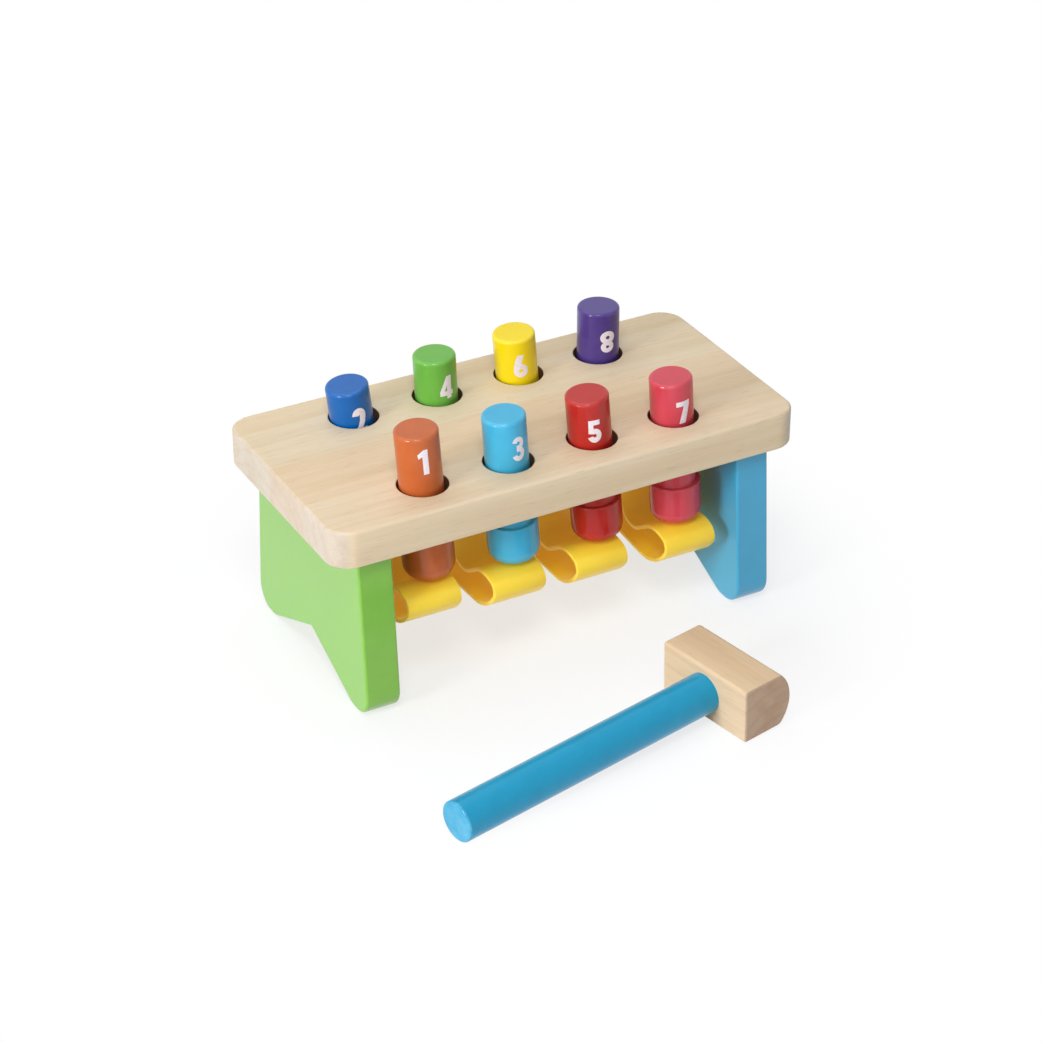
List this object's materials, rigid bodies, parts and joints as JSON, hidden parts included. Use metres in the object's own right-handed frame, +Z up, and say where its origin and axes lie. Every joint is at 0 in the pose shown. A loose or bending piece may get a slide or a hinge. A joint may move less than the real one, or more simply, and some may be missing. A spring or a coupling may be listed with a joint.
{
  "type": "peg pounding bench",
  "caption": "Wooden pounding bench: coloured pegs in see-saw pairs on springy straps over a rod under the board, with a mallet lying in front.",
  "frame": {"origin": "on the floor under the middle of the bench", "axes": "+X along the bench to the light blue leg, +Y to its back, away from the mallet, +Z up"},
  "size_m": [0.26, 0.2423, 0.1415],
  "materials": {
    "natural_wood": "clear satin lacquer on pale wood",
    "dowel_wood": "bare pale wood",
    "green_paint": "satin green paint on wood",
    "blue_paint": "satin light blue paint on wood",
    "handle_paint": "satin blue paint on wood",
    "strap_plastic": "smooth springy yellow sheet",
    "peg_1_paint": "satin orange paint on wood",
    "peg_2_paint": "satin dark blue paint on wood",
    "peg_3_paint": "satin light blue paint on wood",
    "peg_4_paint": "satin green paint on wood",
    "peg_5_paint": "satin red paint on wood",
    "peg_6_paint": "satin yellow paint on wood",
    "peg_7_paint": "satin pink paint on wood",
    "peg_8_paint": "satin purple paint on wood"
  },
  "bodies": {
    "bench": {"top_board": "natural_wood", "left_leg": "green_paint", "right_leg": "blue_paint", "left_leg_dowels": "dowel_wood", "right_leg_dowels": "dowel_wood", "pulley_rod": "dowel_wood", "strap_1_2": "strap_plastic", "strap_3_4": "strap_plastic", "strap_5_6": "strap_plastic", "strap_7_8": "strap_plastic"},
    "peg_1": {"peg_1": "peg_1_paint"},
    "peg_2": {"peg_2": "peg_2_paint"},
    "peg_3": {"peg_3": "peg_3_paint"},
    "peg_4": {"peg_4": "peg_4_paint"},
    "peg_5": {"peg_5": "peg_5_paint"},
    "peg_6": {"peg_6": "peg_6_paint"},
    "peg_7": {"peg_7": "peg_7_paint"},
    "peg_8": {"peg_8": "peg_8_paint"},
    "mallet": {"mallet_head": "natural_wood", "mallet_handle": "handle_paint"}
  },
  "joints": [
    {"name": "peg_1_slide", "type": "slide", "parent": "bench", "child": "peg_1", "axis": [-0.0762, 0, 0.9971], "range_m": [-0.0182, 0.0066], "deforming": ["strap_1_2"]},
    {"name": "peg_2_slide", "type": "slide", "parent": "bench", "child": "peg_2", "axis": [-0.1193, 0, 0.9929], "range_m": [-0.0066, 0.0182]},
    {"name": "peg_3_slide", "type": "slide", "parent": "bench", "child": "peg_3", "axis": [-0.0727, 0, 0.9974], "range_m": [-0.0147, 0.0112], "deforming": ["strap_3_4"]},
    {"name": "peg_4_slide", "type": "slide", "parent": "bench", "child": "peg_4", "axis": [-0.0433, 0, 0.9991], "range_m": [-0.0112, 0.0147]},
    {"name": "peg_5_slide", "type": "slide", "parent": "bench", "child": "peg_5", "axis": [-0.0934, 0, 0.9956], "range_m": [-0.0131, 0.012], "deforming": ["strap_5_6"]},
    {"name": "peg_6_slide", "type": "slide", "parent": "bench", "child": "peg_6", "axis": [-0.0848, 0, 0.9964], "range_m": [-0.012, 0.0131]},
    {"name": "peg_7_slide", "type": "slide", "parent": "bench", "child": "peg_7", "axis": [-0.0675, 0, 0.9977], "range_m": [-0.0115, 0.0151], "deforming": ["strap_7_8"]},
    {"name": "peg_8_slide", "type": "slide", "parent": "bench", "child": "peg_8", "axis": [0, 0, 1], "range_m": [-0.0151, 0.0115]},
    {"name": "mallet_lift", "type": "slide", "parent": "bench", "child": "mallet", "axis": [0, 0, 1], "range_m": [0, 0.15]}
  ],
  "couplings": [
    {"joint": "peg_2_slide", "follows": "peg_1_slide", "ratio": -1},
    {"joint": "peg_4_slide", "follows": "peg_3_slide", "ratio": -1},
    {"joint": "peg_6_slide", "follows": "peg_5_slide", "ratio": -1},
    {"joint": "peg_8_slide", "follows": "peg_7_slide", "ratio": -1}
  ]
}
